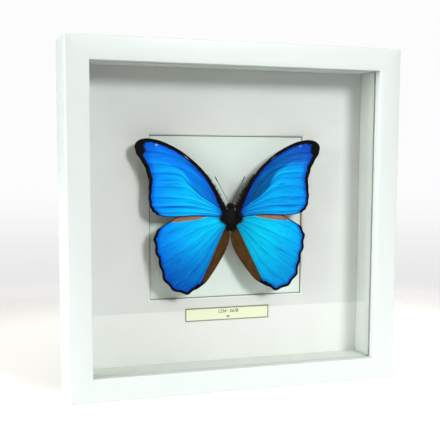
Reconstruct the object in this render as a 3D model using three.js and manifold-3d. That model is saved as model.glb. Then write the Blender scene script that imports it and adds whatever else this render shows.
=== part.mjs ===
// A butterfly specimen in a deep white box frame, 250 mm square and 40 mm deep.
// Millimetres, +Z up. The frame stands on its bottom rail and faces -Y, with the
// origin under the middle of its footprint.
import * as THREE from "three";
import { mergeVertices } from "three/addons/utils/BufferGeometryUtils.js";
import Module from "manifold-3d";

const wasm = await Module();
wasm.setup();

// Driving dimensions of the frame
const FRAME_SIDE = 250;
const FRAME_DEPTH = 40;
const FACE_WIDTH = 16.5;
const LIP_DEPTH = 7.8; // front face to the back of the lip
const WALL = 12.5; // wood outside the rabbet
const BOX_DEPTH = 32; // front face to the front of the mat
const GLASS_THICKNESS = 2;
const MAT_THICKNESS = 1.5;
const WINDOW_SIDE = 122.4; // the mat's window, at the mat's front face
const CARD_THICKNESS = 0.8;
const BACK_BOARD_THICKNESS = 3;
const LABEL = { width: 66.5, height: 10, thickness: 0.3, centreX: -0.2, centreZ: 52 };
const TAB = { width: 14, length: 10, thickness: 0.5, spread: 60, bite: 2.5 };

// Driving dimensions of the butterfly, whose wings span about 144 mm
const BUTTERFLY = { x: -1.8, z: 125 }; // the middle of the thorax
const LEAN_DEG = 3.5; // how far the butterfly leans back, so that its head is nearer the card
const WING_THICKNESS = 0.4;
const FOREWING_Y = -1; // back faces of the wings
const HINDWING_Y = 0;
const WING_ROOT_X = 4.6;
const BODY_Y = 0.8;
const THORAX_RADIUS = 4.2;
const BODY_FLATNESS = 0.92; // depth of the body over its width
const FOLD_SLOPE = 0.45; // how steeply the inner flap of a hindwing bends back
const ANTENNA = { rootX: 1.1, rootZ: 11.15, length: 22, splay: 28.5, radius: 0.22, club: 0.45 };
const RISER = { width: 5, height: 7 };

const GAP = 0.3; // clearance between pieces that touch

// Places that follow from the driving dimensions
const HALF = FRAME_SIDE / 2;
const FRONT_Y = -FRAME_DEPTH / 2;
const BACK_Y = FRAME_DEPTH / 2;
const RABBET_HALF = HALF - WALL;
const PACK_SIDE = 2 * (RABBET_HALF - GAP); // glass, mat, card and back board
const GLASS_Y = FRONT_Y + LIP_DEPTH + GAP;
const MAT_Y = FRONT_Y + BOX_DEPTH;
const CARD_Y = MAT_Y + MAT_THICKNESS + GAP;
const BACK_BOARD_Y = CARD_Y + CARD_THICKNESS + GAP;
const TAB_Y = BACK_BOARD_Y + BACK_BOARD_THICKNESS + GAP;

const finish = (color, roughness, metalness = 0) =>
  new THREE.MeshStandardMaterial({ color, roughness, metalness });

const MATERIALS = {
  frame: finish("#f3f5f3", 0.45),
  glass: finish("#dfeee8", 0.05),
  spacer: finish("#eceeea", 0.7),
  mat: finish("#eef1ec", 0.85),
  card: finish("#e6ebe4", 0.85),
  label: finish("#ebf0cd", 0.8),
  board: finish("#8a6a48", 0.8),
  steel: finish("#9a9d9e", 0.35, 1),
  foam: finish("#efefea", 0.95),
  body: finish("#15110f", 0.9),
  wing: finish("#1277e6", 0.4),
};

const part = new THREE.Group();

function add(name, geometry, material) {
  const mesh = new THREE.Mesh(geometry, material);
  mesh.name = name;
  part.add(mesh);
  return mesh;
}

// Solids for joining and cutting

function solid(geometry) {
  const bare = geometry.clone();
  bare.deleteAttribute("normal");
  bare.deleteAttribute("uv");
  const merged = mergeVertices(bare, 1e-4);
  return new wasm.Manifold(
    new wasm.Mesh({
      numProp: 3,
      vertProperties: merged.attributes.position.array,
      triVerts: new Uint32Array(merged.index.array),
    }),
  );
}

function geometryOf(manifold) {
  const mesh = manifold.getMesh();
  const geometry = new THREE.BufferGeometry();
  geometry.setAttribute("position", new THREE.BufferAttribute(mesh.vertProperties, 3));
  geometry.setIndex(new THREE.BufferAttribute(mesh.triVerts, 1));
  return geometry;
}

// A flat sheet drawn in the XZ plane, from `back` forwards (towards -Y)
function sheet(shape, back, thickness) {
  const geometry = new THREE.ExtrudeGeometry(shape, { depth: thickness, bevelEnabled: false });
  geometry.rotateX(Math.PI / 2);
  geometry.translate(0, back, 0);
  return geometry;
}

function squareSheet(side, front, thickness) {
  return new THREE.BoxGeometry(side, thickness, side).translate(0, front + thickness / 2, HALF);
}

// Frame: four rails of one section, turned about the middle of the opening

const SIDES = [
  { name: "bottom", turn: 0 },
  { name: "right", turn: Math.PI / 2 },
  { name: "top", turn: Math.PI },
  { name: "left", turn: -Math.PI / 2 },
];

// Turns a piece made for the bottom side to one of the four sides
function placeOnSide(geometry, turn) {
  return geometry.translate(0, 0, -HALF).rotateY(-turn).translate(0, 0, HALF);
}

// A bar along X whose section is drawn in depth (shape x) and height (shape y). Each end
// is mitred at 45 degrees, so that four bars close the square of the frame.
function mitredBar(section) {
  const geometry = new THREE.ExtrudeGeometry(section, { depth: 2, bevelEnabled: false });
  geometry.translate(0, 0, -1);
  const place = geometry.attributes.position;
  for (let i = 0; i < place.count; i++) {
    const depth = place.getX(i);
    const height = place.getY(i);
    const end = Math.sign(place.getZ(i));
    place.setXYZ(i, end * (HALF - height - GAP / Math.SQRT2), depth, height);
  }
  return geometry;
}

function railSection() {
  const section = new THREE.Shape();
  section.moveTo(FRONT_Y, 0);
  section.lineTo(BACK_Y, 0);
  section.lineTo(BACK_Y, WALL);
  section.lineTo(FRONT_Y + LIP_DEPTH, WALL);
  section.lineTo(FRONT_Y + LIP_DEPTH, FACE_WIDTH);
  section.lineTo(FRONT_Y, FACE_WIDTH);
  section.closePath();
  return section;
}

function tabOutline(reach, width) {
  const outline = new THREE.Shape();
  outline.moveTo(-width / 2, -TAB.bite);
  outline.lineTo(width / 2, -TAB.bite);
  outline.lineTo(width / 2, reach - width / 4);
  outline.quadraticCurveTo(width / 2, reach, width / 4, reach);
  outline.lineTo(-width / 4, reach);
  outline.quadraticCurveTo(-width / 2, reach, -width / 2, reach - width / 4);
  outline.closePath();
  return outline;
}

// A tab stands in the rail's wall by its bite and reaches over the back board
function tabGeometry(x, clearance) {
  const thickness = TAB.thickness + 2 * clearance;
  const outline = tabOutline(TAB.length - TAB.bite + clearance, TAB.width + 2 * clearance);
  const back = TAB_Y + TAB.thickness + clearance;
  return sheet(outline, back, thickness).translate(x, 0, WALL - clearance);
}

function buildFrame() {
  for (const { name, turn } of SIDES) {
    let rail = solid(mitredBar(railSection()));
    for (const x of [-TAB.spread, TAB.spread]) rail = rail.subtract(solid(tabGeometry(x, GAP)));
    add(`rail_${name}`, placeOnSide(geometryOf(rail), turn), MATERIALS.frame);
  }
}

const TAB_NAMES = {
  bottom: ["left", "right"],
  right: ["lower", "upper"],
  top: ["right", "left"],
  left: ["upper", "lower"],
};

function buildTabs() {
  for (const { name, turn } of SIDES) {
    [-TAB.spread, TAB.spread].forEach((x, i) => {
      const geometry = placeOnSide(tabGeometry(x, 0), turn);
      add(`tab_${name}_${TAB_NAMES[name][i]}`, geometry, MATERIALS.steel);
    });
  }
}

// The spacers stand between the pane and the mat, flush with the lip's edge
function buildSpacers() {
  const front = GLASS_Y + GLASS_THICKNESS + GAP;
  const section = new THREE.Shape();
  section.moveTo(front, WALL + GAP);
  section.lineTo(MAT_Y - GAP, WALL + GAP);
  section.lineTo(MAT_Y - GAP, FACE_WIDTH);
  section.lineTo(front, FACE_WIDTH);
  section.closePath();
  for (const { name, turn } of SIDES)
    add(`spacer_${name}`, placeOnSide(mitredBar(section), turn), MATERIALS.spacer);
}

// Square frustum that cuts the mat's window, whose sides slope 45 degrees
function windowCutter() {
  const overshoot = 1;
  const radius = (half) => half * Math.SQRT2;
  const frontHalf = WINDOW_SIDE / 2 + overshoot;
  const backHalf = WINDOW_SIDE / 2 - MAT_THICKNESS - overshoot;
  const depth = MAT_THICKNESS + 2 * overshoot;
  return new THREE.CylinderGeometry(radius(backHalf), radius(frontHalf), depth, 4)
    .rotateY(Math.PI / 4)
    .translate(0, MAT_Y + MAT_THICKNESS / 2, HALF);
}

function buildSheets() {
  add("glass_pane", squareSheet(PACK_SIDE, GLASS_Y, GLASS_THICKNESS), MATERIALS.glass);
  const blank = solid(squareSheet(PACK_SIDE, MAT_Y, MAT_THICKNESS));
  add("mat_board", geometryOf(blank.subtract(solid(windowCutter()))), MATERIALS.mat);
  add("window_card", squareSheet(PACK_SIDE, CARD_Y, CARD_THICKNESS), MATERIALS.card);
  add("back_board", squareSheet(PACK_SIDE, BACK_BOARD_Y, BACK_BOARD_THICKNESS), MATERIALS.board);
}

function buildLabel() {
  const geometry = new THREE.BoxGeometry(LABEL.width, LABEL.thickness, LABEL.height);
  geometry.translate(LABEL.centreX, MAT_Y - GAP - LABEL.thickness / 2, LABEL.centreZ);
  add("label_card", geometry, MATERIALS.label);
}

// Butterfly: outlines of the right-hand wings, measured outwards and upwards from the
// middle of the thorax. The left-hand wings mirror them.

const FOREWING_FRONT_EDGE = [
  [WING_ROOT_X, 6.5],
  [11, 19.8],
  [19, 32.3],
  [27.8, 41.3],
  [38, 49],
  [50, 55],
  [60, 57.5],
  [67, 57],
  [71, 54.2],
  [71.8, 51],
];
const FOREWING_OUTER_EDGE = [
  [71.8, 51],
  [70.3, 46],
  [66, 39.6],
  [63.2, 32.5],
  [62, 26],
  [62.4, 19],
  [62.1, 12],
  [60.4, 6.8],
  [56.6, 3.4],
  [50, 1.9],
];
const FOREWING_INNER_EDGE = [
  [50, 1.9],
  [40, 1.6],
  [29, 2],
  [16, 1.6],
  [WING_ROOT_X, 0],
];
const FOLD_ROOT = [WING_ROOT_X, -5.5];
const FOLD_TIP = [26, -50.6];
const HINDWING_FRONT_EDGE = [
  [WING_ROOT_X, -1],
  [12, 3],
  [28, 4],
  [38, 1.4],
  [47, -2.9],
  [56, -7],
];
const HINDWING_OUTER_EDGE = [
  [56, -7],
  [59.1, -13.7],
  [58, -23.4],
  [55.3, -33],
  [52.4, -43.6],
  [45.2, -51.7],
  [34.4, -55.1],
  FOLD_TIP,
];
const FLAP_EDGE = [
  FOLD_TIP,
  [19.4, -46.4],
  [14.2, -40.2],
  [9, -33],
  [4.6, -26],
  [2.2, -20.8],
  [0.8, -16.5],
  [0.6, -12],
  [3.2, -7.7],
  FOLD_ROOT,
];
const CURVE_STEPS = 3; // short straight steps between two points of an edge

function smoothEdge(points) {
  const curve = new THREE.SplineCurve(points.map(([x, z]) => new THREE.Vector2(x, z)));
  return curve.getPoints(CURVE_STEPS * (points.length - 1));
}

// Joins edges that run end to end into one closed outline, mirrored for the left side
function wingShape(edges, side) {
  const points = edges.flatMap((edge) => edge.slice(0, -1));
  return new THREE.Shape(points.map((p) => new THREE.Vector2(side * p.x, p.y)));
}

const straight = (points) => points.map(([x, z]) => new THREE.Vector2(x, z));

function forewing(side) {
  const edges = [
    smoothEdge(FOREWING_FRONT_EDGE),
    smoothEdge(FOREWING_OUTER_EDGE),
    smoothEdge(FOREWING_INNER_EDGE),
    straight([FOREWING_INNER_EDGE.at(-1), FOREWING_FRONT_EDGE[0]]),
  ];
  return sheet(wingShape(edges, side), FOREWING_Y, WING_THICKNESS);
}

function hindwingPanel(side) {
  const edges = [
    smoothEdge(HINDWING_FRONT_EDGE),
    smoothEdge(HINDWING_OUTER_EDGE),
    straight([FOLD_TIP, FOLD_ROOT]),
    straight([FOLD_ROOT, HINDWING_FRONT_EDGE[0]]),
  ];
  return sheet(wingShape(edges, side), HINDWING_Y, WING_THICKNESS);
}

// The flap by the abdomen bends back from the fold, deeper the further it is from it
function hindwingFlap(side) {
  const edges = [smoothEdge(FLAP_EDGE), straight([FOLD_ROOT, FOLD_TIP])];
  const geometry = sheet(wingShape(edges, side), HINDWING_Y, WING_THICKNESS);
  const fold = new THREE.Vector2(FOLD_TIP[0] - FOLD_ROOT[0], FOLD_TIP[1] - FOLD_ROOT[1]).normalize();
  const place = geometry.attributes.position;
  for (let i = 0; i < place.count; i++) {
    const outward = side * place.getX(i) - FOLD_ROOT[0];
    const upward = place.getZ(i) - FOLD_ROOT[1];
    const fromFold = Math.abs(fold.x * upward - fold.y * outward);
    place.setY(i, place.getY(i) + FOLD_SLOPE * fromFold);
  }
  return geometry;
}

function hindwing(side) {
  return geometryOf(solid(hindwingPanel(side)).add(solid(hindwingFlap(side))));
}

// Body: a spindle along Z with a round head, a waist, the thorax and the stub that is
// left of the abdomen
const BODY_PROFILE = [
  [0, -9],
  [1.3, -8.6],
  [2.4, -7.2],
  [3.4, -5.2],
  [THORAX_RADIUS, -2],
  [THORAX_RADIUS, 1.5],
  [3.6, 4.2],
  [2.4, 6],
  [2, 6.8],
  [2.4, 7.9],
  [2.4, 9.3],
  [1.6, 10.4],
  [0, 10.9],
];
const BODY_SIDES = 20;
const ANTENNA_SIDES = 8;

function bodyGeometry() {
  const profile = BODY_PROFILE.map(([radius, z]) => new THREE.Vector2(radius, z));
  return new THREE.LatheGeometry(profile, BODY_SIDES).rotateX(Math.PI / 2).scale(1, BODY_FLATNESS, 1);
}

// A straight feeler that thickens to a slim club at its tip
function antennaGeometry(side) {
  const { length, radius, club } = ANTENNA;
  const profile = [
    [0, 0],
    [radius, 0],
    [radius, 0.75 * length],
    [club, 0.88 * length],
    [club, 0.97 * length],
    [0, length],
  ].map(([r, along]) => new THREE.Vector2(r, along));
  return new THREE.LatheGeometry(profile, ANTENNA_SIDES)
    .rotateX(Math.PI / 2)
    .rotateY(side * THREE.MathUtils.degToRad(ANTENNA.splay))
    .translate(side * ANTENNA.rootX, 0, ANTENNA.rootZ);
}

function buildButterfly() {
  const lean = THREE.MathUtils.degToRad(LEAN_DEG);
  const atThorax = (geometry, y) =>
    geometry.translate(0, y, 0).rotateX(-lean).translate(BUTTERFLY.x, 0, BUTTERFLY.z);
  add("butterfly_body", atThorax(bodyGeometry(), BODY_Y), MATERIALS.body);
  for (const [name, side] of [
    ["left", -1],
    ["right", 1],
  ]) {
    add(`forewing_${name}`, atThorax(forewing(side), 0), MATERIALS.wing);
    add(`hindwing_${name}`, atThorax(hindwing(side), 0), MATERIALS.wing);
    add(`antenna_${name}`, atThorax(antennaGeometry(side), BODY_Y), MATERIALS.body);
  }
}

// The foam block between the thorax and the card
function buildRiser() {
  const front = BODY_Y + BODY_FLATNESS * THORAX_RADIUS + 2 * GAP; // clear of the leaning body
  const depth = CARD_Y - GAP - front;
  const geometry = new THREE.BoxGeometry(RISER.width, depth, RISER.height);
  geometry.translate(BUTTERFLY.x, front + depth / 2, BUTTERFLY.z);
  add("riser_block", geometry, MATERIALS.foam);
}

buildFrame();
buildTabs();
buildSpacers();
buildSheets();
buildLabel();
buildButterfly();
buildRiser();

export default part;
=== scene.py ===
"""The looks of a butterfly specimen in a deep white box frame.

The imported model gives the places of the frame, boards, label and tabs. The rails, label, tabs
and the butterfly are modelled anew. The pane, spacers, mat, card, back board and riser keep
their solids and get a finish. Metres, +Z up, and the front of the frame faces -Y.
"""

import math

import bmesh
import bpy
import numpy as np
from bpy.props import FloatProperty, FloatVectorProperty, IntProperty, PointerProperty, StringProperty
from mathutils import Matrix, Vector


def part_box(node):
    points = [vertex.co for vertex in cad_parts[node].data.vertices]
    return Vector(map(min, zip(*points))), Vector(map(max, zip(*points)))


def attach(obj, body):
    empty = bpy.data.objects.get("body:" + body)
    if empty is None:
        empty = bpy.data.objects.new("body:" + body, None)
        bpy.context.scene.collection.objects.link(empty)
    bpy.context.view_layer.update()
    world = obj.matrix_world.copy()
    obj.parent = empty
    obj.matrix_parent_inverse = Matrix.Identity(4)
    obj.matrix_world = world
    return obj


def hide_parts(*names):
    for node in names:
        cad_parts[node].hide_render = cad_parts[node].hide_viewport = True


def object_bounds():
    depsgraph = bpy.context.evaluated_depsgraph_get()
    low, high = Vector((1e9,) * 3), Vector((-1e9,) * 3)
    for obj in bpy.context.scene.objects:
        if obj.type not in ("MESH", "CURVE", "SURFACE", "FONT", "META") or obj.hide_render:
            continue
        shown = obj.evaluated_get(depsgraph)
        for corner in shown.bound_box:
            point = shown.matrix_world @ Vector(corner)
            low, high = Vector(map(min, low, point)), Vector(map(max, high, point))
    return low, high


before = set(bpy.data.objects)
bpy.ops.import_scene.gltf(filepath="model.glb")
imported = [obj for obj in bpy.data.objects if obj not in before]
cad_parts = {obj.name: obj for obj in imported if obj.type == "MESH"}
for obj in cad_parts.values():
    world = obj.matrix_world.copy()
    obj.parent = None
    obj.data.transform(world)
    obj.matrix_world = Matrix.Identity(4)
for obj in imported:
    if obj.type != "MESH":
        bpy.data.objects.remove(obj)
CAD_LOW, CAD_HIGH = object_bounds()

bl_info = {
    "name": "Framed Butterfly Specimen",
    "version": (1, 0, 0),
    "blender": (4, 5, 0),
    "location": "View3D > Sidebar > Specimen",
    "description": "Builds the pieces and finishes of a butterfly in a box frame",
    "category": "Add Mesh",
}

MM = 0.001
GAP = 0.3 * MM  # clearance that the model keeps between pieces that touch

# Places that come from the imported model
RAIL_LOW, RAIL_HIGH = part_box("rail_bottom")
PANE_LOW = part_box("glass_pane")[0]
MAT_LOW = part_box("mat_board")[0]
LABEL_LOW, LABEL_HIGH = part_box("label_card")
HALF = CAD_HIGH.x
LIP_BACK = PANE_LOW.y - GAP
WALL = PANE_LOW.z - GAP
OPENING = RAIL_HIGH.z  # the lip's edge, above the standing surface
MIDDLE = Vector((0, 0, HALF))
THORAX = Vector((-1.8, 0, 125)) * MM
BUTTERFLY_LEAN = math.radians(3.5)  # the head lies nearer the card than the tails

SIDES = {"bottom": 0, "right": 90, "top": 180, "left": 270}  # degrees about the frame's middle


# ---------------------------------------------------------------- settings


def length(name, description, default):
    """A setting in metres."""
    return FloatProperty(name=name, description=description, default=default, unit="LENGTH")


def angle(name, description, degrees):
    """A setting that is an angle."""
    return FloatProperty(name=name, description=description, default=math.radians(degrees), subtype="ANGLE")


def amount(name, description, default):
    """A setting that is a plain number."""
    return FloatProperty(name=name, description=description, default=default)


def colour(name, description, default):
    """A setting that is a colour."""
    return FloatVectorProperty(name=name, description=description, default=default, subtype="COLOR")


class FrameSettings(bpy.types.PropertyGroup):
    """The painted rails."""

    edge: length("Edge", "Radius of the sanded edges", 0.7 * MM)
    corner: length("Corner", "Radius of the frame's outer corners", 1.0 * MM)
    paint: colour("Paint", "Colour of the paint", (0.625, 0.68, 0.665))


class BoardSettings(bpy.types.PropertyGroup):
    """The boards, card and pane inside the frame."""

    mat: colour("Mat", "Face of the mat board", (0.785, 0.80, 0.785))
    # Partly the tan of the cut board, partly painted shade that darkens the slope along the cut.
    core: colour("Core", "Cut core of the mat board", (0.30, 0.27, 0.19))
    card: colour("Card", "Card behind the mat's window", (0.82, 0.91, 0.87))
    spacer: colour("Spacer", "Paper on the spacers", (0.70, 0.74, 0.70))
    hardboard: colour("Hardboard", "Board that closes the back", (0.21, 0.12, 0.06))
    glass: colour("Glass", "Tint of the pane", (0.985, 0.997, 0.99))


class LabelSettings(bpy.types.PropertyGroup):
    """The small label on the mat."""

    border: length("Border", "Width of the printed border", 0.8 * MM)
    paper: colour("Paper", "Cream paper", (0.80, 0.86, 0.60))
    ink: colour("Ink", "Printed border", (0.22, 0.22, 0.13))
    figures: colour("Figures", "Printed figures", (0.05, 0.05, 0.03))
    first_line: StringProperty(name="First line", description="Upper figures", default="1234 · 5678")
    second_line: StringProperty(name="Second line", description="Lower figures", default="90")
    first_height: length("First height", "Size of the upper figures", 3.4 * MM)
    second_height: length("Second height", "Size of the lower figures", 2.6 * MM)


class WingSettings(bpy.types.PropertyGroup):
    """The four wings."""

    thickness: length("Thickness", "Thickness of a wing", 0.12 * MM)
    pleat: length("Pleat", "Height of the folds between the veins", 0.04 * MM)
    vein: length("Vein", "Height of a vein over the membrane", 0.06 * MM)
    scallop: length("Scallop", "Depth of the waves along the outer edge", 1.0 * MM)
    margin: colour("Margin", "Dark border of the wings", (0.003, 0.002, 0.0025))
    fold: colour("Fold", "Brown inner flap of the hindwings", (0.085, 0.038, 0.008))


class BodySettings(bpy.types.PropertyGroup):
    """Head, thorax, hair and feelers."""

    skin: colour("Skin", "Colour of the body", (0.012, 0.009, 0.007))
    hair: colour("Hair", "Colour of the hair", (0.009, 0.005, 0.003))
    hair_length: length("Hair length", "Length of the longest hairs", 4.2 * MM)
    hair_count: IntProperty(name="Hair count", description="Hairs on the body itself", default=9000)
    seed: IntProperty(name="Seed", description="Seed of every random draw", default=11)


class StageSettings(bpy.types.PropertyGroup):
    """Floor, light and camera."""

    floor: colour("Floor", "Colour of the floor", (0.92, 0.93, 0.93))
    key_distance: length("Key distance", "From the specimen to the key light", 2.0)
    key_width: length("Key width", "Width of the round key light", 0.54)
    key_strength: amount("Key strength", "Light of the key on the frame", 2.15)
    side_strength: amount("Side strength", "Light from the left", 3.8)
    side_spread: angle("Side spread", "Width of the light from the left", 34)
    top_strength: amount("Top strength", "Soft light from overhead", 1.15)
    low_strength: amount("Low strength", "Soft light from the horizon", 0.06)


# ---------------------------------------------------------------- modelling helpers


def activate(piece):
    """Makes the piece the only selected object."""
    bpy.ops.object.select_all(action="DESELECT")
    piece.select_set(True)
    bpy.context.view_layer.objects.active = piece


def added(name):
    """Names the primitive that was just added and settles its place in its mesh."""
    piece = bpy.context.object
    piece.name = piece.data.name = name
    activate(piece)
    bpy.ops.object.transform_apply(location=True, rotation=True, scale=True)
    return piece


def add_block(name, low, high):
    """A box between two corners."""
    low, high = Vector(low), Vector(high)
    bpy.ops.mesh.primitive_cube_add(size=1, location=(low + high) / 2, scale=high - low)
    return added(name)


def choose(piece, faces=None, edges=None):
    """In edit mode, selects the faces or edges that pass the test."""
    mesh = bmesh.from_edit_mesh(piece.data)
    for part in (*mesh.verts, *mesh.edges, *mesh.faces):
        part.select = False
    for face in mesh.faces if faces else ():
        if faces(face):
            face.select_set(True)
    for edge in mesh.edges if edges else ():
        if edges(edge):
            edge.select_set(True)
    bmesh.update_edit_mesh(piece.data)


def cut(place, normal, remove=False):
    """In edit mode, cuts through everything. With remove, the side the normal points to goes."""
    bpy.ops.mesh.select_all(action="SELECT")
    bpy.ops.mesh.bisect(plane_co=place, plane_no=normal, use_fill=remove, clear_outer=remove)


def apply_modifier(piece, kind, **settings):
    """Adds a modifier and applies it at once."""
    activate(piece)
    modifier = piece.modifiers.new(kind.title(), kind)
    for name, value in settings.items():
        setattr(modifier, name, value)
    bpy.ops.object.modifier_apply(modifier=modifier.name)


def smooth(piece, degrees=35):
    """Smooth shading, but for edges sharper than the angle."""
    activate(piece)
    bpy.ops.object.shade_smooth_by_angle(angle=math.radians(degrees))


def copied(piece, name):
    """A copy with a mesh of its own."""
    activate(piece)
    bpy.ops.object.duplicate(linked=False)
    copy = bpy.context.object
    copy.name = copy.data.name = name
    return copy


def turn_to_side(piece, side):
    """Turns a piece made for the bottom side about the frame's middle to another side."""
    turn = Matrix.Rotation(math.radians(-SIDES[side]), 4, "Y")
    piece.data.transform(Matrix.Translation(MIDDLE) @ turn @ Matrix.Translation(-MIDDLE))


def finish_piece(piece, material=None, replaces=()):
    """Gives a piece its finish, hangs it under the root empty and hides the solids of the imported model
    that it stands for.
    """
    if material:
        piece.data.materials.clear()
        piece.data.materials.append(material)
    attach(piece, "root")
    if replaces:
        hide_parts(*replaces)


def dress(node_name, material):
    """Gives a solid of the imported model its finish."""
    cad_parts[node_name].material_slots[0].material = material


# ---------------------------------------------------------------- material helpers


def add_node(tree, kind, inputs=None, **properties):
    """Adds a shader node. An input is a plain value or another node's output."""
    node = tree.nodes.new(kind)
    for name, value in properties.items():
        setattr(node, name, value)
    for name, value in (inputs or {}).items():
        socket = node.inputs[name]
        if isinstance(value, bpy.types.NodeSocket):
            tree.links.new(value, socket)
        else:
            socket.default_value = value
    return node


def new_material(name, **shader_values):
    """A material and its Principled shader. Plain values are set on the shader's own sockets."""
    material = bpy.data.materials.new(name)
    material.use_nodes = True
    shader = material.node_tree.nodes["Principled BSDF"]
    for socket, value in shader_values.items():
        shader.inputs[socket.replace("_", " ")].default_value = value
    return material, material.node_tree, shader


def opaque(rgb):
    """A colour with full alpha, as a node's own socket takes it."""
    return (*rgb, 1.0)


NOISE_RANGE = (0.3, 0.7)


def noise(tree, vector, feature, detail=3.0, roughness=0.55, distortion=0.0, stretch=(1, 1, 1)):
    """Noise between 0 and 1 whose patches are about one feature wide, in metres."""
    scale = [share / feature for share in stretch]
    mapping = add_node(tree, "ShaderNodeMapping", {"Vector": vector, "Scale": scale})
    settings = {"Vector": mapping.outputs[0], "Scale": 1.0, "Detail": detail, "Roughness": roughness}
    return add_node(tree, "ShaderNodeTexNoise", {**settings, "Distortion": distortion}).outputs["Fac"]


def mapped(tree, value, from_low, from_high, to_low=0.0, to_high=1.0, smooth_step=False):
    """Maps a value from one range to another, and holds it there."""
    inputs = {"Value": value, "From Min": from_low, "From Max": from_high}
    inputs.update({"To Min": to_low, "To Max": to_high})
    kind = "SMOOTHSTEP" if smooth_step else "LINEAR"
    return add_node(tree, "ShaderNodeMapRange", inputs, interpolation_type=kind).outputs[0]


def spread(tree, value, to_low=0.0, to_high=1.0):
    """Stretches noise, whose values lie mostly in NOISE_RANGE, over another range."""
    return mapped(tree, value, *NOISE_RANGE, to_low, to_high)


def math_node(tree, operation, first, second=0.0):
    """One step of arithmetic on outputs or plain numbers."""
    node = tree.nodes.new("ShaderNodeMath")
    node.operation = operation
    for socket, value in zip(node.inputs, (first, second), strict=False):
        if isinstance(value, bpy.types.NodeSocket):
            tree.links.new(value, socket)
        else:
            socket.default_value = value
    return node.outputs[0]


def mixed(tree, factor, first, second):
    """Mixes two colours, each an output or three numbers."""
    node = add_node(tree, "ShaderNodeMix", data_type="RGBA")
    for socket, value in ((node.inputs[0], factor), (node.inputs[6], first), (node.inputs[7], second)):
        if isinstance(value, bpy.types.NodeSocket):
            tree.links.new(value, socket)
        elif socket is node.inputs[0]:
            socket.default_value = value
        else:
            socket.default_value = opaque(value)
    return node.outputs[2]


def mix_shaders(tree, factor, first, second):
    """The second shader over the first, by a factor."""
    mix = add_node(tree, "ShaderNodeMixShader", {"Fac": factor})
    tree.links.new(first.outputs[0], mix.inputs[1])
    tree.links.new(second.outputs[0], mix.inputs[2])
    return mix


def bump(tree, height, distance, normal=None):
    """A normal that follows a height, over the normal below it."""
    inputs = {"Height": height, "Distance": distance}
    if normal:
        inputs["Normal"] = normal
    return add_node(tree, "ShaderNodeBump", inputs).outputs[0]


def scaled(rgb, by):
    """A colour made darker or paler, at most white."""
    return tuple(min(c * by, 1.0) for c in rgb)


def object_coordinates(tree):
    """Places on a piece, in metres."""
    return add_node(tree, "ShaderNodeTexCoord").outputs["Object"]


def link(tree, output, shader, socket):
    """Leads an output into one of the shader's sockets."""
    tree.links.new(output, shader.inputs[socket])


# ---------------------------------------------------------------- finishes


def paint_material(rgb):
    """Satin paint over sanded wood: a fine orange peel, faint grain and a slightly worn tone."""
    material, tree, shader = new_material("satin white paint", Roughness=0.4)
    place = object_coordinates(tree)
    cloud = noise(tree, place, 40 * MM, detail=4)
    speck = noise(tree, place, 1.2 * MM)
    tone = spread(tree, cloud)
    link(tree, mixed(tree, tone, scaled(rgb, 0.975), rgb), shader, "Base Color")
    link(tree, spread(tree, speck, 0.33, 0.47), shader, "Roughness")
    peel = bump(tree, noise(tree, place, 0.9 * MM), 0.02 * MM)
    link(tree, bump(tree, cloud, 0.25 * MM, normal=peel), shader, "Normal")
    return material


def paper_material(name, rgb, fibre=0.5 * MM, relief=0.02 * MM, mottle=0.03):
    """Matt board or paper with fine fibres and a faint mottle."""
    material, tree, shader = new_material(name, Roughness=0.85)
    place = object_coordinates(tree)
    fibres = noise(tree, place, fibre, detail=5, roughness=0.65)
    cloud = noise(tree, place, 25 * MM)
    tone = math_node(tree, "ADD", spread(tree, fibres, 0, 0.6), spread(tree, cloud, 0, 0.4))
    dark, pale = scaled(rgb, 1 - 2 * mottle), scaled(rgb, 1 + mottle)
    link(tree, mixed(tree, tone, dark, pale), shader, "Base Color")
    link(tree, spread(tree, fibres, 0.78, 0.92), shader, "Roughness")
    link(tree, bump(tree, fibres, relief), shader, "Normal")
    return material, tree, shader


CORE_START = 0.75 * MM  # from the window's edge to where the brown band begins: the board's tan inner layer, darkened as painted shade along the cut
CORE_BLEND = 0.15 * MM
SLOPE_BLEND = 0.1 * MM
SLOPE_PAINTED_LIFT = 1.25  # painted light: the white part of the slope is painted paler than the mat's face, to lift its shade


def mat_material(face, core):
    """Mat board whose cut inner layer shows on the slopes of the window, with painted light on them: a
    paler outer band lifts their shade, and the tan inner band is darkened as painted shade along the cut.
    """
    material, tree, shader = paper_material("mat board", face)
    half_window = window_half()
    axes = add_node(tree, "ShaderNodeSeparateXYZ", {"Vector": object_coordinates(tree)})
    across = math_node(tree, "ABSOLUTE", axes.outputs["X"])
    upward = math_node(tree, "ABSOLUTE", math_node(tree, "SUBTRACT", axes.outputs["Z"], HALF))
    from_middle = math_node(tree, "MAXIMUM", across, upward)
    core_edge = half_window - CORE_START
    on_slope = mapped(tree, from_middle, half_window - SLOPE_BLEND, half_window, 1, 0)
    inner = mapped(tree, from_middle, core_edge - CORE_BLEND, core_edge, 1, 0)
    face_colour = shader.inputs["Base Color"].links[0].from_socket
    slope_colour_with_painted_light = mixed(tree, inner, scaled(face, SLOPE_PAINTED_LIFT), core)
    link(tree, mixed(tree, on_slope, face_colour, slope_colour_with_painted_light), shader, "Base Color")
    return material


def window_half():
    """Half the width of the mat's window at the mat's face, read from its solid."""
    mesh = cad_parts["mat_board"].data
    front = [abs(v.co.x) for v in mesh.vertices if v.co.y < MAT_LOW.y + GAP]
    return min(front)


GLASS_IOR = 1.5


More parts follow.
